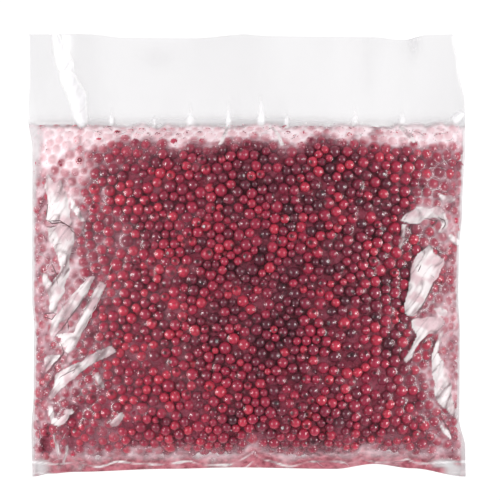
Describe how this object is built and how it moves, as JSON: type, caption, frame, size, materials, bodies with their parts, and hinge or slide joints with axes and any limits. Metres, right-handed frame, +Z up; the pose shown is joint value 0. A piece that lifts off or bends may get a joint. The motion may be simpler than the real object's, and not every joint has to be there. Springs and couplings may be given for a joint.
{
  "type": "frozen fruit bag",
  "caption": "Clear film bag of small frozen red berries, lying flat, with an empty flat header above the filled pillow.",
  "frame": {"origin": "centre of the bag's bounding box in plan, on the table that it lies on", "axes": "+X across the bag to the right, +Y from the bottom weld towards the empty header, +Z up, away from the table"},
  "size_m": [0.308, 0.3116, 0.0369],
  "materials": {
    "berries_in_film": "deep red berries seen through glossy clear film",
    "film": "clear, slightly milky polythene film with bright glossy creases",
    "berries": "smooth, glossy berry skin from bright red to dark wine red, with a little frost",
    "frost": "fine ice crumbs, tinted pink by juice",
    "crumbs": "dry dark bits of leaf, stalk and skin"
  },
  "bodies": {
    "root": {"berry_bag": "berries_in_film"}
  },
  "joints": []
}
